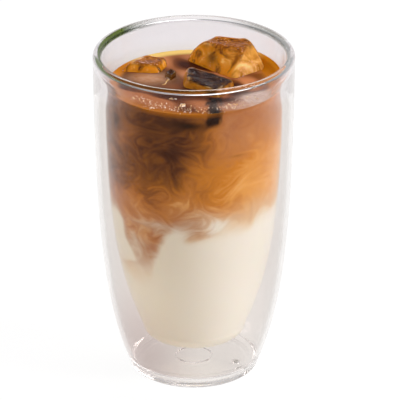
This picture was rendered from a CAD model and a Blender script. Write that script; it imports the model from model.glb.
"""Iced coffee in a double-walled glass: the finished look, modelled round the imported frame."""

import math

import bmesh
import bpy
import numpy as np
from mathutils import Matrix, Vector, noise


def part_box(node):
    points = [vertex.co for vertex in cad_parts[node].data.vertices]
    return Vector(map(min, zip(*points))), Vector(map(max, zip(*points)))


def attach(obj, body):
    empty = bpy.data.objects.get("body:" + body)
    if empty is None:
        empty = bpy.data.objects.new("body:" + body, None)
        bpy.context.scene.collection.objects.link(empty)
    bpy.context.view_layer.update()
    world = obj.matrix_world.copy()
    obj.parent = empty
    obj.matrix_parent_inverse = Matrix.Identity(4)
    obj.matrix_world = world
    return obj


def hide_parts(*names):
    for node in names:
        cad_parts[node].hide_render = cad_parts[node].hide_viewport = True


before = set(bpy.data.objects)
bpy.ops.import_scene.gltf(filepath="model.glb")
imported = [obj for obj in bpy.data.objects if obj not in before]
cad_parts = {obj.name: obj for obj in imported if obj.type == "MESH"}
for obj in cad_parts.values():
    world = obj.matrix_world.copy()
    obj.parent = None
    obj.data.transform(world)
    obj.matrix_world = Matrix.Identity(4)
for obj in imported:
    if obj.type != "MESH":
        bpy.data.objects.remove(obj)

bl_info = {
    "name": "Iced coffee in a double-walled glass",
    "version": (1, 0, 0),
    "blender": (4, 5, 0),
    "location": "View3D > Sidebar > Iced coffee",
    "description": "Models a layered iced coffee with lumps of ice in a double-walled glass",
    "category": "Add Mesh",
}

# The glass, measured from the frame and from the same named sizes as the solids
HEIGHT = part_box("glass")[1].z
RIM_REACH = 0.04431
FOOT_REACH = 0.0165
FOOT_RISE = 0.03734
SHOULDER_Z = 0.1478
VESSEL_REACH = 0.03898
VESSEL_TAPER = 0.01818
VESSEL_RISE = 0.0352
VESSEL_POWER = 1.2
VESSEL_START_Z = 0.014
VESSEL_FLOOR_Z = 0.0148
VESSEL_FLOOR_RADIUS = 0.013
VESSEL_CORNER_RISE = 0.0058
VESSEL_TOP_Z = 0.148
FLARE_Z = 0.134
FLARE_TOP_Z = 0.148
FLARE = 0.0031
LIP_WALL = 0.0012
FOOT_RING_INNER = 0.0229
FOOT_RING_OUTER = 0.0263
FOOT_CORNER_RISE = 0.0022
PUSH_UP = 0.001
STEP_RADIUS = 0.0076
STEP_RISE = 0.0003
STEP_RUN = 0.0012
GAP_CORNER_RADIUS = 0.0205
GAP_CORNER_Z = 0.0085
GAP_FLOOR_Z = 0.0024
GAP_TOP_Z = 0.1477
GAP_ROOF_RISE = 0.0004
VENT_LOW, VENT_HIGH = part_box("vent_plug")
VENT_X = (VENT_LOW.x + VENT_HIGH.x) / 2
VENT_Y = (VENT_LOW.y + VENT_HIGH.y) / 2
VENT_RADIUS = 0.0015
VENT_CUT = (-0.002, 0.006)
PLUG_GAP = 0.0003

# The drink's layers
MILK_TILT = 0.003
TONGUE = (-0.0228, -0.0268, 0.012, 0.02)
SMALL_TONGUE = (0.0005, -0.036, 0.006, 0.0045)
COFFEE_FOOT = 0.094
COFFEE_LEFT_STEP = 0.0085
COFFEE_MIDDLE_STEP = 0.011

# Clouds in the drink's side: place x and z, half sizes, more coffee, more mauve
CLOUDS = (
    (-0.0358, 0.108, 0.006, 0.026, 0.03, -0.2),
    (-0.035, 0.089, 0.005, 0.005, -0.08, 0.1),
    (-0.0155, 0.1135, 0.0045, 0.0035, -0.09, -0.05),
    (-0.025, 0.124, 0.006, 0.009, -0.22, 0.0),
    (-0.025, 0.106, 0.007, 0.006, -0.08, 0.0),
    (-0.0155, 0.122, 0.005, 0.008, -0.06, 0.0),
    (-0.015, 0.104, 0.005, 0.005, -0.1, -0.1),
    (0.0144, 0.127, 0.006, 0.009, -0.1, 0.1),
    (0.02, 0.119, 0.012, 0.007, -0.08, 0.25),
    (0.025, 0.132, 0.009, 0.005, 0.06, 0.0),
    (0.031, 0.108, 0.009, 0.01, 0.05, -0.8),
    (0.014, 0.106, 0.008, 0.006, 0.05, -0.3),
    (0.022, 0.0985, 0.011, 0.0045, -0.08, -0.25),
    (-0.006, 0.0975, 0.007, 0.006, -0.28, 0.0),
    (0.004, 0.0905, 0.01, 0.004, -0.16, 0.25),
    (-0.017, 0.097, 0.007, 0.0035, 0.08, 0.2),
    (-0.0155, 0.0905, 0.006, 0.0035, -0.04, 0.2),
    (-0.027, 0.0905, 0.007, 0.004, -0.12, 0.1),
    (0.006, 0.084, 0.008, 0.0035, -0.26, 0.2),
    (0.02, 0.084, 0.008, 0.004, 0.06, 0.2),
    (0.026, 0.085, 0.009, 0.007, 0.02, 0.15),
    (-0.015, 0.0815, 0.009, 0.0045, -0.3, 0.9),
    (-0.0258, 0.083, 0.0055, 0.008, -0.16, 0.35),
    (-0.0258, 0.07, 0.0055, 0.005, -0.34, 0.2),
    (-0.0175, 0.071, 0.007, 0.005, -0.13, 0.1),
    (-0.0258, 0.0578, 0.006, 0.005, 0.16, 0.3),
)

# Ice: plan corners (left, front, right, back) at three heights; a bulge above 1 rounds the sides out,
# dusk darkens the sides and the roof, and pale lightens the right side
ICE = {
    "ice_back": {
        "low": ((-0.002, 0.024), (0.015, 0.0055), (0.029, 0.0145), (0.0125, 0.0315)),
        "mid": ((-0.005, 0.0262), (0.0172, 0.0028), (0.0328, 0.0158), (0.0125, 0.0335)),
        "high": ((0.004, 0.0225), (0.0222, 0.015), (0.0242, 0.0245), (0.0088, 0.0297)),
        "levels": (0.1165, 0.133, 0.1455),
        "lift": (0.0006, 0.0, 0.002, 0.0004),
        "dimple": 0.0018,
        "bulge": 1.6,
        "pale": 1.0,
    },
    "ice_left": {
        "low": ((-0.031, 0.0095), (-0.0165, 0.007), (-0.013, 0.0165), (-0.0245, 0.0225)),
        "mid": ((-0.0335, 0.012), (-0.0152, 0.0095), (-0.0112, 0.0195), (-0.024, 0.0258)),
        "high": ((-0.028, 0.014), (-0.016, 0.0132), (-0.0122, 0.0202), (-0.0208, 0.0235)),
        "levels": (0.116, 0.1325, 0.1388),
        "lift": (0.0006, -0.0002, 0.0002, 0.0006),
        "dimple": 0.001,
        "bulge": 1.9,
    },
    "ice_front": {
        "low": ((-0.0048, -0.004), (0.01, -0.013), (0.0165, -0.003), (-0.0045, 0.0075)),
        "mid": ((-0.0056, -0.005), (0.0115, -0.015), (0.0188, -0.0025), (-0.0056, 0.0088)),
        "high": ((-0.0026, -0.004), (0.01, -0.0125), (0.0176, -0.001), (-0.0024, 0.0084)),
        "levels": (0.119, 0.1335, 0.139),
        "lift": (0.0006, -0.0014, -0.0012, 0.002),
        "dimple": 0.0009,
        "dusk": (0.35, 1.0),
    },
    "ice_corner": {
        "low": ((-0.0122, 0.006), (-0.01, 0.0015), (-0.0078, 0.006), (-0.01, 0.01)),
        "mid": ((-0.0136, 0.0066), (-0.0102, 0.0012), (-0.007, 0.007), (-0.0102, 0.0125)),
        "high": ((-0.0122, 0.0072), (-0.0098, 0.0045), (-0.0078, 0.0075), (-0.0098, 0.0108)),
        "levels": (0.123, 0.133, 0.138),
        "lift": (0.0, 0.0, 0.0, 0.0),
        "dimple": 0.0012,
        "dusk": (0.85, 0.9),
    },
}

# A bright and a dark spot in the tall lump: centre and reach
GLINT = ((0.0158, 0.013, 0.142), 0.0028)
SHADE = ((0.0078, 0.0165, 0.1404), 0.0028)

# Dark shapes behind the wall, which are ice sunk in the drink: strength, centre, half sizes
DARK_SPOTS = (
    (1.3, (-0.0012, -0.037, 0.1324), (0.0074, 0.02, 0.0028)),
    (-0.95, (0.0002, -0.037, 0.1346), (0.0056, 0.02, 0.0026)),
    (0.7, (-0.0322, -0.017, 0.1262), (0.0018, 0.012, 0.0062)),
    (0.25, (-0.019, -0.031, 0.129), (0.006, 0.02, 0.0035)),
    (0.35, (0.018, -0.032, 0.1158), (0.003, 0.02, 0.0006)),
)

# Spots on the drink's surface: what they add to, strength, place (x, y), half sizes
SURFACE_SPOTS = (
    ("film", 0.5, (-0.024, -0.018), (0.01, 0.01)),
    ("film", 0.8, (0.001, -0.021), (0.009, 0.01)),
    ("foam", 1.9, (0.027, -0.017), (0.0065, 0.008)),
    ("foam", 0.5, (0.018, -0.026), (0.008, 0.003)),
    ("foam", 0.32, (-0.0185, 0.006), (0.01, 0.0065)),
    ("edge", 0.9, (0.0335, 0.011), (0.004, 0.01)),
    ("edge", 0.65, (-0.0185, 0.006), (0.01, 0.0065)),
)
SPOT_HEIGHT = 0.1

# Waves that stir the drink: seed, number, longest, shortest, flatness
BENDS = (11, 26, 0.05, 0.014, 1.5)
CURLS = (23, 40, 0.026, 0.006, 2.4)
THREADS = (31, 40, 0.012, 0.003, 2.2)
BROAD_CLOUDS = (37, 24, 0.05, 0.016, 1.6)
FILM_CLOUDS = (41, 30, 0.034, 0.01, 1.0)
BEND_REACH, BEND_STEPS = 0.09, 6
CURL_REACH, CURL_STEPS = 0.95, 18
CLOUD_Y, CLOUD_DEPTH = -0.03, 0.03

# The rim's green: where it sits, its depth at the sides, how much of that fades to the right, and all round
RIM_TINT_Z = 0.1468
LIP_OUT = 0.0422
LIP_MIDDLE = 0.0415
RIM_SIDE_DEPTH = 0.95
RIM_RIGHT_FADE = 0.36
RIM_DEPTH = 0.1

# How many bounces a ray may make, and after how many it counts as caught
BOUNCES = 14
CAUGHT_DEPTH = 12.0

# How the drink meets the wall; it is drawn up between two angles, in degrees from +X towards +Y
WALL_OVERLAP = 0.00015
MENISCUS_REACH = 0.0013
FILM_FROM = -6.0
FILM_TO = 62.0
FILM_FADE = 18.0

# Fineness and form
GLASS_TURNS = 160
DRINK_TURNS = 320
DRINK_ROWS = 225
SURFACE_RINGS = 44
ICE_CUTS = 28
ICE_SQUARENESS = 9.0
CORE_SHRINK = 0.0005

# Lights: name, azimuth and elevation in degrees, width, height, watts, seen in reflections
LIGHTS = (
    ("key_light", 78, 28, 0.35, 1.1, 12.0, True),
    ("side_light", -105, 20, 0.3, 1.0, 5.0, False),
    ("top_light", 150, 68, 0.6, 0.6, 6.0, True),
)
LIGHT_DISTANCE = 1.3
LIGHT_AIM_Z = 0.09

# The floor's glow, and how much of it is lost in what the glass mirrors
FLOOR_SIZE = 6.0
FLOOR_DROP = 0.0002
FLOOR_GLOW = 0.86
MIRRORED_LOSS = -0.8

# The camera: widths of picture and sensor, and the shift that puts the glass where the photo has it
PICTURE_WIDTH = 400.0
SENSOR_WIDTH = 36.0
VIEW_RIGHT = 0.00265
VIEW_UP = 0.0038


def srgb(red, green, blue):
    """Colour as seen on a screen, 0 to 255, to the linear values that a shader takes."""
    linear = []
    for value in (red, green, blue):
        value /= 255
        linear.append(value / 12.92 if value <= 0.04045 else ((value + 0.055) / 1.055) ** 2.4)
    return tuple(linear)


def colour_setting(name, description, screen_colour):
    """Colour property whose default is given as seen on a screen."""
    default = srgb(*screen_colour)
    return bpy.props.FloatVectorProperty(
        name=name, description=description, subtype="COLOR", size=3, min=0, max=1, default=default
    )


def length_setting(name, description, metres):
    return bpy.props.FloatProperty(
        name=name, description=description, default=metres, min=0, unit="LENGTH", precision=4
    )


class IcedGlassSettings(bpy.types.PropertyGroup):
    """Sizes and tints of the glass."""

    outer_wall: length_setting("Outer wall", "Thickness of the outer wall", 0.0019)
    vessel_wall: length_setting("Vessel wall", "Thickness of the inner vessel's wall", 0.0017)
    foot_wall: length_setting("Foot wall", "Thickness of the foot", 0.0022)
    tint: colour_setting("Tint", "Clear wall", (241, 237, 234))
    edge_tint: colour_setting("Edge tint", "Wall seen edge on", (196, 192, 190))
    upper_tint: colour_setting("Upper tint", "Clear wall above the drink", (243, 240, 241))
    foot_tint: colour_setting("Foot tint", "Thick glass low on the left", (222, 212, 209))
    rim_tint: colour_setting("Rim tint", "Thick rim seen along the glass", (40, 58, 4))


class IcedDrinkSettings(bpy.types.PropertyGroup):
    """Level and colours of the drink."""

    level: length_setting("Level", "Height of the drink's surface", 0.1352)
    meniscus: length_setting("Meniscus", "How far the drink climbs the wall", 0.0002)
    front_film: length_setting("Front film", "Extra climb in front", 0.002)
    film: length_setting("Film", "Extra climb beside the tall lump of ice", 0.0038)
    milk_level: length_setting("Milk level", "Height of the milk's top away from its tongues", 0.0825)
    milk: colour_setting("Milk", "Milk on the left, with a little coffee in it", (238, 226, 203))
    pure_milk: colour_setting("Pure milk", "Milk on the right", (244, 238, 226))
    caramel: colour_setting("Caramel", "Warm blend of milk and coffee", (206, 130, 46))
    tan: colour_setting("Tan", "Pale clouds of the blend", (200, 158, 124))
    brown: colour_setting("Brown", "Dark coffee at the side", (92, 48, 24))
    surface: colour_setting("Surface", "Dark coffee seen from above", (62, 26, 12))
    edge: colour_setting("Edge", "Thin gold edge of the surface", (190, 112, 8))


class IcedLumpSettings(bpy.types.PropertyGroup):
    """Colours of the ice."""

    amber: colour_setting("Amber", "Coffee colour that shows through the ice", (222, 146, 30))
    umber: colour_setting("Umber", "Darker patches in the ice", (110, 66, 30))
    bubble_count: bpy.props.IntProperty(
        name="Bubbles", description="Number of small bubbles at the edge", default=340, min=0, max=600
    )


class IcedStageSettings(bpy.types.PropertyGroup):
    """Camera and floor."""

    distance: length_setting("Distance", "Distance from the camera to the glass", 1.6)
    elevation: bpy.props.FloatProperty(
        name="Elevation", description="View above level", default=math.radians(25.1), subtype="ANGLE"
    )
    pixels_per_radian: bpy.props.FloatProperty(
        name="Focal length", description="Focal length in pixels of the picture", default=3624.8
    )
    floor: colour_setting("Floor", "Colour of the plain floor", (250, 250, 250))


def smooth_step(value):
    """0 to 1 with soft ends."""
    value = min(max(value, 0.0), 1.0)
    return value * value * (3.0 - 2.0 * value)


def smooth_steps(values):
    """The same for an array."""
    values = np.clip(values, 0.0, 1.0)
    return values * values * (3.0 - 2.0 * values)


def outer_radius(z):
    """Outside of the outer wall."""
    return RIM_REACH - FOOT_REACH * math.exp(-z / FOOT_RISE)


def lip_share(z):
    """0 below the flare and 1 at the lip, where both walls thin to the lip's own wall."""
    return smooth_step((z - FLARE_Z) / (FLARE_TOP_Z - FLARE_Z))


def vessel_radius(z):
    """Outside of the inner vessel, with the flare that meets the rim."""
    run = max(z - VESSEL_START_Z, 0.0) / VESSEL_RISE
    return VESSEL_REACH - VESSEL_TAPER * math.exp(-(run**VESSEL_POWER)) + FLARE * lip_share(z)


def heights(low, high, count, power=1.5):
    """Heights of a wall's rings, closest together at the bottom, where the wall bends most."""
    return [low + (high - low) * (i / count) ** power for i in range(count + 1)]


def arc(centre, reach, start, end, count):
    """Points of an elliptical arc in the (radius, height) plane, angles in degrees."""
    points = []
    for i in range(count + 1):
        angle = math.radians(start + (end - start) * i / count)
        points.append((centre[0] + reach[0] * math.cos(angle), centre[1] + reach[1] * math.sin(angle)))
    return points


def vessel_outline(shrink, top, rows, thinned=0.0):
    """Outline of the inner vessel from the axis up, drawn in by shrink, and by thinned more at the lip."""
    floor = VESSEL_FLOOR_Z + shrink
    corner_z = floor + VESSEL_CORNER_RISE
    corner_x = VESSEL_FLOOR_RADIUS - shrink
    reach = vessel_radius(corner_z) - shrink - corner_x
    points = [(corner_x * share, floor) for share in (0.0, 0.2, 0.4, 0.6, 0.8)]
    points += arc((corner_x, corner_z), (reach, VESSEL_CORNER_RISE), -90, 0, 14)
    for z in heights(corner_z, top, rows, 1.15)[1:]:
        points.append((vessel_radius(z) - shrink - thinned * lip_share(z), z))
    return points


def foot_height(radius):
    """Underside of the foot, pushed up in the middle, with a small round step."""
    step = STEP_RISE * (1.0 - smooth_step((radius - STEP_RADIUS) / STEP_RUN))
    return PUSH_UP * (1.0 - (radius / FOOT_RING_INNER) ** 2) + step


def foot_radii():
    """Radii of the foot's rings, close together at the step."""
    plain = [FOOT_RING_INNER * i / 16 for i in range(17)]
    step = [STEP_RADIUS + STEP_RUN * i / 6 for i in range(7)]
    return sorted(set(plain + step))


def glass_outline(settings):
    """Outside of the glass and the cavity for the drink, from the foot's middle to the cavity's."""
    points = [(r, foot_height(r)) for r in foot_radii()]
    edge = outer_radius(FOOT_CORNER_RISE) - FOOT_RING_OUTER
    points += arc((FOOT_RING_OUTER, FOOT_CORNER_RISE), (edge, FOOT_CORNER_RISE), -90, 0, 10)
    points += [(outer_radius(z), z) for z in heights(FOOT_CORNER_RISE, SHOULDER_Z, 56)[1:]]
    lip_out = outer_radius(SHOULDER_Z)
    lip_in = vessel_radius(HEIGHT) - settings.vessel_wall
    middle = (lip_out + lip_in) / 2
    points += arc((middle, SHOULDER_Z), (lip_out - middle, HEIGHT - SHOULDER_Z), 0, 180, 28)[1:-1]
    points += reversed(vessel_outline(settings.vessel_wall, VESSEL_TOP_Z, 50))
    return points


def gap_outline(settings):
    """The air between the walls, from the middle of its floor to the middle of its roof."""
    inner = [r for r in foot_radii() if r < GAP_CORNER_RADIUS - 0.001]
    points = [(r, foot_height(r) + settings.foot_wall) for r in inner]
    edge = outer_radius(GAP_CORNER_Z) - settings.outer_wall - GAP_CORNER_RADIUS
    points += arc((GAP_CORNER_RADIUS, GAP_CORNER_Z), (edge, GAP_CORNER_Z - GAP_FLOOR_Z), -90, 0, 16)
    for z in heights(GAP_CORNER_Z, GAP_TOP_Z, 56)[1:]:
        wall = settings.outer_wall - (settings.outer_wall - LIP_WALL) * lip_share(z)
        points.append((outer_radius(z) - wall, z))
    vessel = vessel_outline(0.0, GAP_TOP_Z, 50, settings.vessel_wall - LIP_WALL)
    roof_out, roof_in = points[-1][0], vessel[-1][0]
    half = (roof_out - roof_in) / 2
    points += arc((roof_in + half, GAP_TOP_Z), (half, GAP_ROOF_RISE), 0, 180, 8)[1:-1]
    points += reversed(vessel)
    return points


def turned(outline, turns, inward=False):
    """Turn an open outline, whose ends are on the axis, once round Z, and return its bmesh."""
    bm = bmesh.new()
    verts = [bm.verts.new((r, 0.0, z)) for r, z in outline]
    edges = [bm.edges.new(pair) for pair in zip(verts, verts[1:])]
    bmesh.ops.spin(
        bm, geom=verts + edges, cent=(0, 0, 0), axis=(0, 0, 1), angle=math.tau, steps=turns, use_merge=True
    )
    bmesh.ops.remove_doubles(bm, verts=bm.verts, dist=1e-6)
    bmesh.ops.recalc_face_normals(bm, faces=bm.faces)
    if inward:
        bmesh.ops.reverse_faces(bm, faces=bm.faces)
    return bm


def rod(radius, low, high, segments):
    """Upright round rod at the vent's place."""
    bm = bmesh.new()
    bmesh.ops.create_cone(
        bm, cap_ends=True, segments=segments, radius1=radius, radius2=radius, depth=high - low
    )
    bmesh.ops.translate(bm, verts=bm.verts, vec=(VENT_X, VENT_Y, (low + high) / 2))
    return bm


def linked(name, data):
    """New object for a mesh, a light or the camera, linked to the scene."""
    thing = bpy.data.objects.new(name, data)
    bpy.context.scene.collection.objects.link(thing)
    return thing


def with_vent(mesh):
    """Copy of the glass's mesh with the vent cut through its foot."""
    walls = linked("uncut_walls", mesh)
    cutter = linked("vent_cutter", mesh_from(rod(VENT_RADIUS, *VENT_CUT, 48), "vent_cutter"))
    modifier = walls.modifiers.new("vent", "BOOLEAN")
    modifier.operation = "DIFFERENCE"
    modifier.solver = "EXACT"
    modifier.object = cutter
    evaluated = walls.evaluated_get(bpy.context.evaluated_depsgraph_get())
    cut = bpy.data.meshes.new_from_object(evaluated)
    for thing in (walls, cutter):
        spare = thing.data
        bpy.data.objects.remove(thing)
        bpy.data.meshes.remove(spare)
    cut.name = "glass_walls"
    return cut


def mesh_from(bm, name):
    mesh = bpy.data.meshes.new(name)
    bm.to_mesh(mesh)
    bm.free()
    mesh.shade_smooth()
    return mesh


def add_piece(name, mesh, materials, slot, *nodes):
    """Link a finished piece, let it ride on the one body and stand for the CAD nodes named."""
    piece = linked(name, mesh)
    for material in materials:
        mesh.materials.append(material)
    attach(piece, "root")
    if nodes:
        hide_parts(*nodes)
    return piece


def store_values(mesh, name, values):
    """Keep one number from 0 to 1 for each point of a mesh as a named attribute."""
    attribute = mesh.attributes.new(name, "FLOAT", "POINT")
    attribute.data.foreach_set("value", np.ascontiguousarray(np.clip(values, 0, 1), dtype=np.float32))


def mesh_points(mesh):
    points = np.empty(len(mesh.vertices) * 3, dtype=np.float64)
    mesh.vertices.foreach_get("co", points)
    return points.reshape(-1, 3)


class NodeSheet:
    """Short hand for a material's nodes and links."""

    def __init__(self, tree):
        self.tree = tree

    def add(self, kind, **settings):
        node = self.tree.nodes.new(kind)
        for key, value in settings.items():
            setattr(node, key, value)
        return node

    def link(self, source, target):
        self.tree.links.new(source, target)

    def attribute(self, name):
        return self.add("ShaderNodeAttribute", attribute_name=name).outputs["Fac"]

    def place(self):
        return self.add("ShaderNodeTexCoord").outputs["Object"]

    def axes(self):
        parts = self.add("ShaderNodeSeparateXYZ")
        self.link(self.place(), parts.inputs[0])
        return parts.outputs

    def maths(self, operation, first, second=None, clamp=False):
        node = self.add("ShaderNodeMath", operation=operation, use_clamp=clamp)
        for socket, value in zip(node.inputs, (first, second)):
            if isinstance(value, bpy.types.NodeSocket):
                self.link(value, socket)
            elif value is not None:
                socket.default_value = value
        return node.outputs[0]

    def times(self, first, second, clamp=False):
        return self.maths("MULTIPLY", first, second, clamp)

    def less(self, first, second, clamp=False):
        return self.maths("SUBTRACT", first, second, clamp)

    def reach(self, x, y):
        """Distance from the axis."""
        return self.maths("SQRT", self.maths("ADD", self.times(x, x), self.times(y, y)))

    def span(self, value, low, high):
        """0 at low and 1 at high, smooth between them."""
        node = self.add("ShaderNodeMapRange", interpolation_type="SMOOTHSTEP")
        self.link(value, node.inputs["Value"])
        node.inputs["From Min"].default_value = min(low, high)
        node.inputs["From Max"].default_value = max(low, high)
        node.inputs["To Min"].default_value = float(low > high)
        node.inputs["To Max"].default_value = float(low < high)
        return node.outputs["Result"]

    def noise(self, scale, detail=3.0, roughness=0.55, distortion=0.0, vector=None):
        node = self.add("ShaderNodeTexNoise")
        self.link(vector or self.place(), node.inputs["Vector"])
        node.inputs["Scale"].default_value = scale
        node.inputs["Detail"].default_value = detail
        node.inputs["Roughness"].default_value = roughness
        node.inputs["Distortion"].default_value = distortion
        return node.outputs["Fac"]

    def ramp(self, source, *stops):
        """Colour ramp from (position, colour) pairs."""
        node = self.add("ShaderNodeValToRGB")
        elements = node.color_ramp.elements
        while len(elements) < len(stops):
            elements.new(0.5)
        for element, (position, colour) in zip(elements, stops):
            element.position = position
            element.color = (*colour, 1.0)
        self.link(source, node.inputs["Fac"])
        return node.outputs["Color"]

    def mix(self, share, first, second):
        node = self.add("ShaderNodeMix", data_type="RGBA")
        for socket, value in zip((node.inputs[0], node.inputs[6], node.inputs[7]), (share, first, second)):
            if isinstance(value, bpy.types.NodeSocket):
                self.link(value, socket)
            else:
                socket.default_value = value if isinstance(value, float) else (*value, 1.0)
        return node.outputs[2]

    def bump(self, height, distance, strength=1.0):
        node = self.add("ShaderNodeBump")
        node.inputs["Distance"].default_value = distance
        node.inputs["Strength"].default_value = strength
        self.link(height, node.inputs["Height"])
        return node.outputs["Normal"]


def new_material(name):
    material = bpy.data.materials.new(name)
    material.use_nodes = True
    return material, NodeSheet(material.node_tree), material.node_tree.nodes["Principled BSDF"]


def clear_glass(settings):
    """Clear blown glass: grey where it is seen edge on, dark green in the thick inner half of the rim."""
    material, sheet, shader = new_material("clear_glass")
    x, y, z = sheet.axes()
    radius = sheet.reach(x, y)
    lip = sheet.times(sheet.span(z, RIM_TINT_Z, SHOULDER_Z), sheet.span(radius, LIP_OUT, LIP_MIDDLE))
    at_side = sheet.span(sheet.maths("DIVIDE", sheet.maths("ABSOLUTE", x), radius), 0.25, 0.85)
    depth = sheet.less(RIM_SIDE_DEPTH, sheet.times(sheet.span(x, 0.0, 0.036), RIM_RIGHT_FADE))
    deep = sheet.times(sheet.times(lip, at_side), depth)
    deep = sheet.maths("ADD", deep, sheet.times(lip, RIM_DEPTH))
    facing = sheet.add("ShaderNodeLayerWeight")
    facing.inputs["Blend"].default_value = 0.35
    upper = sheet.span(z, 0.133, 0.139)
    edge_on = sheet.maths("POWER", facing.outputs["Facing"], 2.0)
    edge_on = sheet.times(edge_on, sheet.less(1.0, sheet.times(upper, 0.85)))
    tint = sheet.mix(upper, settings.tint, settings.upper_tint)
    tint = sheet.mix(edge_on, tint, settings.edge_tint)
    low_left = sheet.times(sheet.span(z, 0.05, 0.008), sheet.span(x, 0.006, -0.03))
    tint = sheet.mix(low_left, tint, settings.foot_tint)
    tint = sheet.mix(deep, tint, settings.rim_tint)
    sheet.link(tint, shader.inputs["Base Color"])
    shader.inputs["Roughness"].default_value = 0.0
    shader.inputs["IOR"].default_value = 1.47
    shader.inputs["Transmission Weight"].default_value = 1.0
    shader.inputs["Specular Tint"].default_value = (0.3, 0.3, 0.3, 1.0)
    # A ray that is caught between the walls for good ends in the wall's own colour
    caught = sheet.maths("COMPARE", sheet.add("ShaderNodeLightPath").outputs["Ray Depth"], CAUGHT_DEPTH)
    caught.node.inputs[2].default_value = 0.5
    held = sheet.mix(lip, srgb(222, 217, 215), srgb(82, 98, 42))
    sheet.link(sheet.mix(caught, (0.0, 0.0, 0.0), held), shader.inputs["Emission Color"])
    shader.inputs["Emission Strength"].default_value = 1.0
    waver = sheet.noise(60.0, detail=1.0)
    sheet.link(sheet.bump(waver, 0.0002, 0.3), shader.inputs["Normal"])
    return material


def plug_rubber():
    material, sheet, shader = new_material("plug_rubber")
    grain = sheet.ramp(sheet.noise(900.0), (0.3, srgb(150, 146, 142)), (0.7, srgb(196, 192, 188)))
    sheet.link(grain, shader.inputs["Base Color"])
    shader.inputs["Roughness"].default_value = 0.45
    return material


def milk_top(x, y, settings):
    """Top of the milk: a little higher on the right, with a deep tongue and a small one in front."""
    tongue = np.exp(-((np.hypot(x - TONGUE[0], y - TONGUE[1]) / TONGUE[2]) ** 4))
    small = np.exp(-((np.hypot(x - SMALL_TONGUE[0], y - SMALL_TONGUE[1]) / SMALL_TONGUE[2]) ** 2))
    tilt = MILK_TILT * smooth_steps(x / VESSEL_REACH)
    return settings.milk_level + tilt - TONGUE[3] * tongue - SMALL_TONGUE[3] * small


def coffee_foot(x):
    """Foot of the dark coffee: low on the left, with a step up in the middle and high on the right."""
    left = COFFEE_LEFT_STEP * smooth_steps((x + 0.036) / 0.02)
    middle = COFFEE_MIDDLE_STEP * smooth_steps((x + 0.01) / 0.016)
    return COFFEE_FOOT + left + middle


class Waves:
    """Plane waves in all directions from one seed; flatness above 1 makes layers that lie level."""

    def __init__(self, seed, count, longest, shortest, flatness):
        rng = np.random.default_rng(seed)
        self.lengths = np.exp(rng.uniform(math.log(shortest), math.log(longest), count))
        headings = rng.normal(size=(count, 3))
        headings[:, 2] *= flatness
        self.headings = headings / np.linalg.norm(headings, axis=1)[:, None]
        self.offsets = rng.uniform(0, math.tau, count)
        pushes = np.cross(self.headings, rng.normal(size=(count, 3)))
        self.pushes = pushes / np.linalg.norm(pushes, axis=1)[:, None]

    def cosines(self, points):
        return np.cos(points @ (self.headings * (math.tau / self.lengths)[:, None]).T + self.offsets)

    def clouds(self, points):
        """Smooth noise from -1 to 1."""
        return np.tanh(self.cosines(points).sum(axis=1) * 1.2 / math.sqrt(len(self.lengths)))

    def carry(self, points, reach, steps):
        """Follow the points back along eddies whose size is the waves' length, without sources."""
        push = self.pushes * self.lengths[:, None] / math.sqrt(len(self.lengths))
        for _ in range(steps):
            points = points - self.cosines(points) @ push * (reach / steps)
        return points


def spot(points, centre, reach):
    """Soft spot round a centre; reach gives its half sizes along X, Y and Z."""
    apart = (points - np.array(centre)) / np.array(reach)
    return np.exp(-(apart**2).sum(axis=1))


def drink_outline(glass, settings):
    """Outline of the drink: it reaches just into the vessel's wall, and climbs it at the surface."""
    shrink = glass.vessel_wall - WALL_OVERLAP
    points = vessel_outline(shrink, settings.level + settings.meniscus, DRINK_ROWS)
    edge = points[-1][0]
    for i in range(1, SURFACE_RINGS + 1):
        radius = edge * (1.0 - i / SURFACE_RINGS)
        climb = settings.meniscus * math.exp(-(edge - radius) / MENISCUS_REACH)
        points.append((radius, settings.level + climb))
    return points


def raise_film(bm, glass, settings):
    """Lift the drink's edge in front, and where it is drawn up between the tall lump of ice and the wall."""
    shrink = glass.vessel_wall - WALL_OVERLAP
    for vert in bm.verts:
        height = vert.co.z - settings.level
        if height < 1e-5:
            continue
        radius = math.hypot(vert.co.x, vert.co.y)
        at_wall = radius > vessel_radius(vert.co.z) - shrink - 1e-5
        angle = math.degrees(math.atan2(vert.co.y, vert.co.x))
        beside = smooth_step((angle - FILM_FROM) / FILM_FADE) * smooth_step((FILM_TO - angle) / FILM_FADE)
        front = smooth_step(-1.6 * vert.co.y / max(radius, 1e-6))
        vert.co.z += height / settings.meniscus * (settings.film * beside + settings.front_film * front)
        if at_wall and radius > 0.0:
            outward = (vessel_radius(vert.co.z) - shrink) / radius
            vert.co.x *= outward
            vert.co.y *= outward


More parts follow.
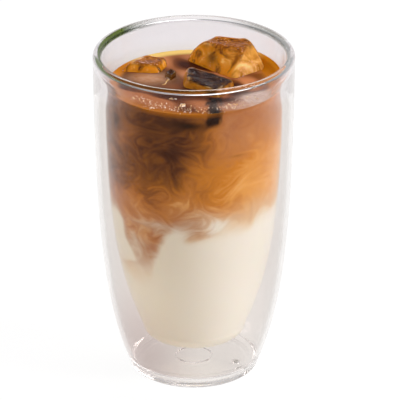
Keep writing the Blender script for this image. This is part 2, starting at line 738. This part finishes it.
def mixture(points, bent, fine, threads, calm, settings):
    """How much coffee is mixed in at each point, and how mauve the drink is there."""
    x, _, z = points.T
    mx, my, mz = (0.85 * bent + 0.15 * fine).T
    dx, _, dz = (0.68 * bent + 0.32 * fine).T
    broad = Waves(*BROAD_CLOUDS).clouds(bent)
    above_milk = mz - milk_top(mx, my, settings)
    blur = 0.012 + 0.01 * calm
    milk_edge = smooth_steps((above_milk + 0.45 * blur) / blur)
    dark_edge = smooth_steps((dz - coffee_foot(dx) + 0.008) / 0.02)
    latte = 0.6 - 0.3 * smooth_steps((bent[:, 0] + 0.006) / 0.038)
    coffee = 0.15 + 0.19 * np.exp(-(((bent[:, 0] + 0.015) / 0.014) ** 2))
    share = milk_edge * latte + dark_edge * coffee
    share += milk_edge * (0.05 * threads * (1.0 - 0.5 * calm) + 0.04 * broad)
    tone = 0.12 + 0.1 * broad + 0.1 * threads
    drawn = 0.7 * points + 0.3 * fine
    for at_x, at_z, half_x, half_z, more_coffee, more_mauve in CLOUDS:
        cloud = spot(drawn, (at_x, CLOUD_Y, at_z), (half_x, CLOUD_DEPTH, half_z))
        share += more_coffee * cloud
        tone += more_mauve * cloud
    tongue = spot(points, (-0.024, -0.03, 0.069), (0.013, 0.02, 0.012))
    lobe = spot(points, (0.001, -0.036, 0.084), (0.011, 0.02, 0.007))
    share -= milk_edge * (0.1 * tongue + 0.2 * lobe)
    tone += 0.7 * tongue + 0.6 * lobe + 0.45 * smooth_steps((-x - 0.026) / 0.01)
    tone += 0.6 * smooth_steps((z - 0.117) / 0.014) * smooth_steps((x - 0.004) / 0.012)
    tone += 0.45 * np.exp(-((above_milk / 0.006) ** 2)) * (1.0 - 0.7 * calm)
    return share, tone


def dark_shapes(points, threads, level):
    """Sunk ice, seen as dark shapes; the block in front ends in a slanting side."""
    x, y, z = points.T
    wavy = x + 0.0009 * threads
    dark = smooth_steps((wavy - 0.0046) / 0.0022)
    dark *= 1.0 - smooth_steps((wavy + 0.3 * (level - z) - 0.01) / 0.003)
    dark *= smooth_steps((z - 0.1298) / 0.0035) * smooth_steps((-y - 0.009) / 0.006)
    for strength, centre, reach in DARK_SPOTS:
        dark += strength * spot(points, centre, reach)
    return dark


def surface_values(points, bent, threads, level):
    """Film, foam and gold edge of the surface, and the amber of the film on the wall."""
    x, y, z = points.T
    across = spot(points, (-0.008, -0.034, level), (0.015, 0.03, SPOT_HEIGHT))
    amber = smooth_steps((z - level - 0.0004 - 0.0005 * threads) / 0.0016)
    values = {
        "film": 0.5 + 0.5 * Waves(*FILM_CLOUDS).clouds(bent),
        "foam": np.zeros(len(points)),
        "edge": smooth_steps((np.hypot(x, y) - 0.0312 + 0.0018 * across) / 0.0036),
        "amber": amber * np.clip(across * 1.6, 0.35, 1.0),
    }
    for name, strength, place, half in SURFACE_SPOTS:
        values[name] += strength * spot(points, (*place, level), (*half, SPOT_HEIGHT))
    return values


def paint_drink(mesh, settings):
    """Store the drink's mixture, dark shapes and surface as attributes that its materials read."""
    points = mesh_points(mesh)
    bent = Waves(*BENDS).carry(points, BEND_REACH, BEND_STEPS)
    fine = Waves(*CURLS).carry(bent, CURL_REACH, CURL_STEPS)
    threads = Waves(*THREADS).clouds(fine)
    calm = smooth_steps((points[:, 0] - 0.002) / 0.018)
    share, tone = mixture(points, bent, fine, threads, calm, settings)
    values = {"share": share, "tone": tone, "calm": calm}
    values["dark"] = dark_shapes(points, threads, settings.level)
    values.update(surface_values(points, bent, threads, settings.level))
    for name, numbers in values.items():
        store_values(mesh, name, numbers)
    carried = mesh.attributes.new("carried", "FLOAT_VECTOR", "POINT")
    carried.data.foreach_set("vector", np.ascontiguousarray(fine, dtype=np.float32).ravel())


def drink_side(settings):
    """Marbled drink behind the vessel's wall."""
    material, sheet, shader = new_material("drink_side")
    share = sheet.attribute("share")
    carried = sheet.add("ShaderNodeAttribute", attribute_name="carried").outputs["Vector"]
    restless = sheet.less(1.0, sheet.times(sheet.attribute("calm"), 0.5))
    mixed = sheet.times(sheet.times(share, 2.5, clamp=True), restless)
    wisps = sheet.noise(170.0, detail=3.0, roughness=0.55, distortion=0.4, vector=carried)
    wisps = sheet.times(sheet.less(wisps, 0.5), 0.2)
    lines = sheet.noise(75.0, detail=2.0, roughness=0.5, vector=carried)
    lines = sheet.times(sheet.maths("ABSOLUTE", sheet.less(lines, 0.5)), 22.0)
    lines = sheet.times(sheet.less(1.0, lines, clamp=True), -0.035)
    wisps = sheet.times(sheet.maths("ADD", wisps, lines), mixed)
    share = sheet.maths("ADD", share, wisps, clamp=True)
    stops = (
        (0.0, settings.milk, settings.milk),
        (0.15, srgb(236, 198, 150), srgb(220, 194, 168)),
        (0.3, srgb(232, 166, 90), settings.tan),
        (0.42, settings.caramel, srgb(188, 132, 96)),
        (0.54, srgb(190, 118, 42), srgb(172, 110, 72)),
        (0.66, srgb(156, 94, 32), srgb(148, 88, 56)),
        (0.78, srgb(122, 72, 28), srgb(118, 68, 42)),
        (0.88, srgb(92, 52, 26), settings.brown),
        (1.0, srgb(60, 26, 8), srgb(60, 30, 18)),
    )
    gold = sheet.ramp(share, *[(position, colour) for position, colour, _ in stops])
    mauve = sheet.ramp(share, *[(position, colour) for position, _, colour in stops])
    colour = sheet.mix(sheet.attribute("tone"), gold, mauve)
    bare = sheet.less(1.0, sheet.times(share, 5.0), clamp=True)
    bare = sheet.times(bare, sheet.span(sheet.axes()["X"], -0.018, 0.024))
    colour = sheet.mix(bare, colour, settings.pure_milk)
    colour = sheet.mix(sheet.attribute("dark"), colour, srgb(40, 20, 8))
    colour = sheet.mix(sheet.attribute("amber"), colour, settings.edge)
    sheet.link(colour, shader.inputs["Base Color"])
    shader.inputs["Roughness"].default_value = 0.6
    shader.inputs["Specular IOR Level"].default_value = 0.0
    shader.inputs["Subsurface Weight"].default_value = 0.15
    shader.inputs["Subsurface Radius"].default_value = (0.0024, 0.0014, 0.0007)
    shader.inputs["Subsurface Scale"].default_value = 1.0
    return material


def drink_surface(settings):
    """Glossy top of the drink with a thin gold edge, paler at the back."""
    material, sheet, shader = new_material("drink_surface")
    film = sheet.ramp(
        sheet.attribute("film"),
        (0.25, settings.surface),
        (0.6, srgb(116, 62, 30)),
        (0.9, srgb(184, 116, 72)),
    )
    at_back = sheet.span(sheet.axes()["Y"], 0.02, 0.032)
    edge = sheet.mix(at_back, settings.edge, srgb(230, 192, 110))
    colour = sheet.mix(sheet.attribute("edge"), film, edge)
    colour = sheet.mix(sheet.attribute("dark"), colour, srgb(20, 8, 4))
    froth = sheet.noise(420.0, detail=4.0, roughness=0.7)
    froth = sheet.times(sheet.attribute("foam"), sheet.times(froth, 1.6), clamp=True)
    colour = sheet.mix(froth, colour, srgb(226, 202, 186))
    sheet.link(colour, shader.inputs["Base Color"])
    shader.inputs["Roughness"].default_value = 0.05
    shader.inputs["IOR"].default_value = 1.34
    shader.inputs["Specular IOR Level"].default_value = 0.04
    ripple = sheet.noise(60.0, detail=2.0)
    sheet.link(sheet.bump(ripple, 0.0015, 0.5), shader.inputs["Normal"])
    return material


def plan_point(corners, u, v):
    """Point of a plan quadrilateral: u runs left to right, v front to back."""
    left, front, right, back = (Vector(corner) for corner in corners)
    return (
        left * (1 - u) * (1 - v) / 4
        + front * (1 + u) * (1 - v) / 4
        + right * (1 + u) * (1 + v) / 4
        + back * (1 - u) * (1 + v) / 4
    )


def ice_point(spec, u, v, w):
    """Point of a lump of ice for cube coordinates from -1 to 1."""
    low, mid, high = (plan_point(spec[key], u, v) for key in ("low", "mid", "high"))
    low_z, mid_z, high_z = spec["levels"]
    lift = plan_point([(value, 0.0) for value in spec["lift"]], u, v).x
    if w < 0:
        plan = mid.lerp(low, -w)
        z = mid_z + (low_z - mid_z) * -w
    else:
        plan = mid.lerp(high, w ** spec.get("bulge", 1.0))
        z = mid_z + (high_z + lift - mid_z) * w
        z -= spec["dimple"] * smooth_step((w - 0.7) / 0.3) * (1 - u * u) * (1 - v * v)
    return Vector((plan.x, plan.y, z))


def lit(point, spot_place):
    """1 at the middle of a spot in the ice, fading out with distance."""
    centre, reach = spot_place
    return math.exp(-(((point - Vector(centre)).length / reach) ** 2))


def ice_mesh(name, spec, swell=0.0):
    """Lump of ice from a subdivided cube with worn edges and melted hollows."""
    bm = bmesh.new()
    bmesh.ops.create_cube(bm, size=2.0)
    bmesh.ops.subdivide_edges(bm, edges=bm.edges[:], cuts=ICE_CUTS, use_grid_fill=True)
    top, ridge, pale, dusk = (bm.verts.layers.float.new(key) for key in ("top", "ridge", "pale", "dusk"))
    for vert in bm.verts:
        u, v, w = vert.co
        reach = sum(abs(part) ** ICE_SQUARENESS for part in (u, v, w)) ** (1 / ICE_SQUARENESS)
        ragged = 0.5 * noise.noise(Vector((u, v, w)) * 2.6 + Vector(spec["levels"]) * 900.0)
        vert[top] = smooth_step((w - 0.72 - 0.3 * ragged) / 0.3)
        vert[ridge] = smooth_step((sorted(abs(part) for part in (u, v, w))[1] - 0.86) / 0.12)
        vert[ridge] *= smooth_step(0.4 + 2.4 * ragged)
        vert[pale] = spec.get("pale", 0.0) * smooth_step((u - 0.8) / 0.15)
        sides, roof = spec.get("dusk", (0.0, 0.0))
        vert[dusk] = sides + (roof - sides) * vert[top]
        vert.co = ice_point(spec, u / reach, v / reach, w / reach)
        vert.co += noise.noise_vector(vert.co * 90.0) * 0.0004
        vert.co += noise.noise_vector(vert.co * 260.0) * 0.00025
        vert[pale] = max(vert[pale], lit(vert.co, GLINT))
        vert[dusk] = max(vert[dusk], 0.8 * lit(vert.co, SHADE))
    bmesh.ops.recalc_face_normals(bm, faces=bm.faces)
    bm.normal_update()
    for vert in bm.verts:
        vert.co += vert.normal * swell
    return mesh_from(bm, name)


def ice_shell():
    """Clear wet outside of the ice, rougher on its melted top."""
    material, sheet, shader = new_material("ice_shell")
    shader.inputs["Base Color"].default_value = (*srgb(255, 240, 214), 1.0)
    shader.inputs["Roughness"].default_value = 0.02
    shader.inputs["IOR"].default_value = 1.31
    shader.inputs["Transmission Weight"].default_value = 1.0
    shader.inputs["Specular Tint"].default_value = (0.4, 0.4, 0.4, 1.0)
    grain = sheet.times(sheet.noise(700.0, detail=2.0), sheet.attribute("top"))
    waves = sheet.noise(190.0, detail=2.0, distortion=0.6)
    height = sheet.maths("ADD", sheet.times(grain, 0.35), sheet.times(waves, 1.3))
    sheet.link(sheet.bump(height, 0.001, 0.7), shader.inputs["Normal"])
    return material


def ice_core(settings):
    """Coffee colours that show through the ice, dark and speckled on top, pale along its ridges."""
    material, sheet, shader = new_material("ice_core")
    cloud = sheet.noise(150.0, detail=5.0, roughness=0.6, distortion=1.2)
    warm = sheet.ramp(
        cloud,
        (0.32, settings.umber),
        (0.46, settings.amber),
        (0.58, srgb(226, 152, 40)),
        (0.72, srgb(252, 206, 110)),
    )
    gilt = sheet.ramp(
        cloud, (0.34, srgb(188, 118, 34)), (0.5, srgb(228, 172, 84)), (0.66, srgb(252, 224, 160))
    )
    speckle = sheet.noise(760.0, detail=3.0, roughness=0.7)
    dull = sheet.ramp(
        speckle,
        (0.34, srgb(84, 46, 18)),
        (0.48, srgb(146, 84, 22)),
        (0.6, srgb(180, 112, 30)),
        (0.74, srgb(228, 172, 88)),
    )
    night = sheet.ramp(
        speckle, (0.44, srgb(30, 10, 8)), (0.62, srgb(58, 28, 20)), (0.74, srgb(170, 136, 112))
    )
    colour = sheet.mix(sheet.attribute("pale"), warm, gilt)
    colour = sheet.mix(sheet.attribute("top"), colour, dull)
    colour = sheet.mix(sheet.attribute("dusk"), colour, night)
    ridge = sheet.times(sheet.attribute("ridge"), sheet.span(cloud, 0.4, 0.6))
    colour = sheet.mix(sheet.times(ridge, 0.65), colour, srgb(250, 210, 140))
    sheet.link(colour, shader.inputs["Base Color"])
    sheet.link(colour, shader.inputs["Emission Color"])
    shader.inputs["Emission Strength"].default_value = 0.16
    shader.inputs["Roughness"].default_value = 0.5
    shader.inputs["Specular IOR Level"].default_value = 0.0
    return material


def bubble_film():
    material, sheet, shader = new_material("bubble_film")
    grain = sheet.noise(300.0)
    pearl = sheet.ramp(grain, (0.35, srgb(232, 186, 104)), (0.6, srgb(255, 244, 224)))
    sheet.link(pearl, shader.inputs["Base Color"])
    sheet.link(pearl, shader.inputs["Emission Color"])
    shader.inputs["Emission Strength"].default_value = 0.25
    shader.inputs["Roughness"].default_value = 0.08
    return material


class ICED_OT_glass(bpy.types.Operator):
    """Make the double-walled glass with its sealed air gap"""

    bl_idname = "iced.glass"
    bl_label = "Glass"

    def execute(self, context):
        settings = context.scene.iced_glass
        outside = turned(glass_outline(settings), GLASS_TURNS)
        gap = turned(gap_outline(settings), GLASS_TURNS, inward=True)
        gap_mesh = mesh_from(gap, "air_gap")
        outside.from_mesh(gap_mesh)
        bpy.data.meshes.remove(gap_mesh)
        mesh = with_vent(mesh_from(outside, "glass_walls"))
        piece = add_piece("glass_walls", mesh, [clear_glass(settings)], "glass", "glass")
        piece.visible_shadow = False
        piece.visible_diffuse = False
        return {"FINISHED"}


class ICED_OT_plug(bpy.types.Operator):
    """Make the small plug in the foot"""

    bl_idname = "iced.plug"
    bl_label = "Vent plug"

    def execute(self, context):
        bm = rod(VENT_RADIUS - PLUG_GAP, VENT_LOW.z, VENT_HIGH.z, 32)
        rims = [edge for edge in bm.edges if abs(edge.verts[0].co.z - edge.verts[1].co.z) < 1e-7]
        bmesh.ops.bevel(bm, geom=rims, offset=0.0002, segments=3, profile=0.5, affect="EDGES", material=-1)
        add_piece("foot_plug", mesh_from(bm, "foot_plug"), [plug_rubber()], "plug", "vent_plug")
        return {"FINISHED"}


class ICED_OT_drink(bpy.types.Operator):
    """Make the layered drink and paint its swirls"""

    bl_idname = "iced.drink"
    bl_label = "Drink"

    def execute(self, context):
        settings = context.scene.iced_drink
        glass = context.scene.iced_glass
        bm = turned(drink_outline(glass, settings), DRINK_TURNS)
        raise_film(bm, glass, settings)
        top_z = settings.level - 0.00002
        for face in bm.faces:
            if face.normal.z > 0.5 and face.calc_center_median().z > top_z:
                face.material_index = 1
        mesh = mesh_from(bm, "layered_drink")
        paint_drink(mesh, settings)
        materials = [drink_side(settings), drink_surface(settings)]
        add_piece("layered_drink", mesh, materials, "latte", "milk", "latte", "coffee")
        return {"FINISHED"}


class ICED_OT_ice(bpy.types.Operator):
    """Make the lumps of ice that stand out of the drink"""

    bl_idname = "iced.ice"
    bl_label = "Ice"

    def execute(self, context):
        shell = ice_shell()
        core = ice_core(context.scene.iced_lumps)
        for node, spec in ICE.items():
            add_piece(node + "_shell", ice_mesh(node + "_shell", spec), [shell], "ice", node)
            add_piece(node + "_core", ice_mesh(node + "_core", spec, -CORE_SHRINK), [core], "ice")
        return {"FINISHED"}


def bubble_places(rng, count):
    """Size and place of each bubble: a loose band, a line at the wall, a clump and two short chains."""
    for i in range(count):
        size = 0.00014 + 0.00026 * rng.random() ** 3
        at_wall = i % 3 == 0
        angle = math.radians(rng.uniform(218, 300) if at_wall else rng.uniform(212, 326))
        reach = rng.normal(0.0352, 0.0004) if at_wall else rng.normal(0.03, 0.0016)
        yield size, reach * math.cos(angle), reach * math.sin(angle)
    for i in range(14):
        yield 0.00022 + 0.0003 * rng.random(), rng.normal(-0.005, 0.0009), rng.normal(-0.0262, 0.001)
    for start, turn, count in (((-0.0102, -0.0138), -80.0, 26), ((-0.0138, -0.0018), 12.0, 20)):
        x, y = start
        for i in range(count):
            turn += rng.normal(0.0, 48.0)
            step = rng.uniform(0.0002, 0.0006)
            x += step * math.cos(math.radians(turn))
            y += step * math.sin(math.radians(turn))
            yield rng.uniform(0.00012, 0.00026), x, y


class ICED_OT_bubbles(bpy.types.Operator):
    """Scatter small bubbles along the drink's edge"""

    bl_idname = "iced.bubbles"
    bl_label = "Bubbles"

    def execute(self, context):
        settings = context.scene.iced_lumps
        level = context.scene.iced_drink.level
        rng = np.random.default_rng(5)
        bm = bmesh.new()
        for size, x, y in bubble_places(rng, settings.bubble_count):
            made = bmesh.ops.create_icosphere(bm, subdivisions=1, radius=size)
            bmesh.ops.translate(bm, verts=made["verts"], vec=(x, y, level + size * 0.5))
        add_piece("edge_bubbles", mesh_from(bm, "edge_bubbles"), [bubble_film()], "coffee")
        return {"FINISHED"}


def add_area_light(name, azimuth, elevation, width, height, power, mirrored):
    """Soft light at an azimuth round the glass, 0 on the camera's side, that faces the drink."""
    light = bpy.data.lights.new(name, "AREA")
    light.shape = "RECTANGLE"
    light.size = width
    light.size_y = height
    light.energy = power
    lamp = linked(name, light)
    lamp.visible_glossy = mirrored
    azimuth = math.radians(azimuth)
    elevation = math.radians(elevation)
    level = math.cos(elevation)
    away = Vector((level * math.sin(azimuth), -level * math.cos(azimuth), math.sin(elevation)))
    lamp.location = away * LIGHT_DISTANCE + Vector((0, 0, LIGHT_AIM_Z))
    lamp.rotation_euler = (-away).to_track_quat("-Z", "Y").to_euler()


def add_floor(settings):
    """Plain glowing floor; rays that a wall mirrors find it darker in front."""
    bm = bmesh.new()
    bmesh.ops.create_grid(bm, x_segments=1, y_segments=1, size=FLOOR_SIZE)
    bmesh.ops.translate(bm, verts=bm.verts, vec=(0, 0, -FLOOR_DROP))
    floor = linked("floor", mesh_from(bm, "floor"))
    material, sheet, shader = new_material("pale_floor")
    shader.inputs["Base Color"].default_value = (*srgb(120, 120, 120), 1.0)
    shader.inputs["Roughness"].default_value = 0.9
    shader.inputs["Specular IOR Level"].default_value = 0.0
    shader.inputs["Emission Color"].default_value = (*settings.floor, 1.0)
    x, y, _ = sheet.axes()
    reach = sheet.reach(x, y)
    front = sheet.span(sheet.maths("DIVIDE", y, reach), 0.5, -0.6)
    front = sheet.times(front, sheet.span(reach, 0.09, 0.14))
    mirrored = sheet.maths("MINIMUM", sheet.add("ShaderNodeLightPath").outputs["Glossy Depth"], 1.0)
    loss = sheet.times(sheet.times(front, mirrored), MIRRORED_LOSS)
    sheet.link(sheet.maths("ADD", loss, FLOOR_GLOW), shader.inputs["Emission Strength"])
    floor.data.materials.append(material)


def add_world(scene):
    """White round the horizon, greyer overhead."""
    world = bpy.data.worlds.new("studio")
    scene.world = world
    world.use_nodes = True
    sheet = NodeSheet(world.node_tree)
    direction = sheet.add("ShaderNodeSeparateXYZ")
    sheet.link(sheet.add("ShaderNodeTexCoord").outputs["Generated"], direction.inputs[0])
    sky = sheet.ramp(
        direction.outputs["Z"],
        (0.0, (0.92, 0.92, 0.93)),
        (0.35, (0.8, 0.8, 0.82)),
        (0.75, (0.42, 0.42, 0.44)),
    )
    background = world.node_tree.nodes["Background"]
    sheet.link(sky, background.inputs["Color"])
    background.inputs["Strength"].default_value = 0.95


def add_camera(scene, settings):
    """Camera at the photo's angle."""
    camera = bpy.data.cameras.new("photo_view")
    camera.sensor_width = SENSOR_WIDTH
    camera.lens = SENSOR_WIDTH * settings.pixels_per_radian / PICTURE_WIDTH
    view = linked("photo_view", camera)
    tilt = settings.elevation
    right = Vector((1, 0, 0))
    back = Vector((0, -math.cos(tilt), math.sin(tilt)))
    up = Vector((0, math.sin(tilt), math.cos(tilt)))
    view.location = Vector((0, 0, HEIGHT / 2)) + right * VIEW_RIGHT + up * VIEW_UP + back * settings.distance
    view.rotation_euler = (math.pi / 2 - tilt, 0, 0)
    scene.camera = view


class ICED_OT_stage(bpy.types.Operator):
    """Make the plain floor, the soft studio light and the camera"""

    bl_idname = "iced.stage"
    bl_label = "Stage"

    def execute(self, context):
        scene = context.scene
        scene.view_settings.view_transform = "Standard"
        scene.cycles.max_bounces = BOUNCES
        scene.cycles.glossy_bounces = BOUNCES
        scene.cycles.transmission_bounces = BOUNCES
        add_floor(scene.iced_stage)
        add_world(scene)
        for light in LIGHTS:
            add_area_light(*light)
        add_camera(scene, scene.iced_stage)
        return {"FINISHED"}


class ICED_PT_panel(bpy.types.Panel):
    """Lists the iced coffee's operators and settings"""

    bl_idname = "ICED_PT_panel"
    bl_label = "Iced coffee"
    bl_space_type = "VIEW_3D"
    bl_region_type = "UI"
    bl_category = "Iced coffee"

    def draw(self, context):
        for operator in OPERATORS:
            self.layout.operator(operator.bl_idname)
        for name, group in SETTINGS:
            box = self.layout.box()
            for key in group.__annotations__:
                box.prop(getattr(context.scene, name), key)


SETTINGS = (
    ("iced_glass", IcedGlassSettings),
    ("iced_drink", IcedDrinkSettings),
    ("iced_lumps", IcedLumpSettings),
    ("iced_stage", IcedStageSettings),
)
OPERATORS = (ICED_OT_glass, ICED_OT_plug, ICED_OT_drink, ICED_OT_ice, ICED_OT_bubbles, ICED_OT_stage)


def register():
    for name, group in SETTINGS:
        bpy.utils.register_class(group)
        setattr(bpy.types.Scene, name, bpy.props.PointerProperty(type=group))
    for kind in (*OPERATORS, ICED_PT_panel):
        bpy.utils.register_class(kind)


def unregister():
    for kind in (ICED_PT_panel, *reversed(OPERATORS)):
        bpy.utils.unregister_class(kind)
    for name, group in reversed(SETTINGS):
        delattr(bpy.types.Scene, name)
        bpy.utils.unregister_class(group)


def main():
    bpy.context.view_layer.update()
    register()
    bpy.ops.iced.glass()
    bpy.ops.iced.plug()
    bpy.ops.iced.drink()
    bpy.ops.iced.ice()
    bpy.ops.iced.bubbles()
    bpy.ops.iced.stage()


if __name__ == "__main__":
    main()
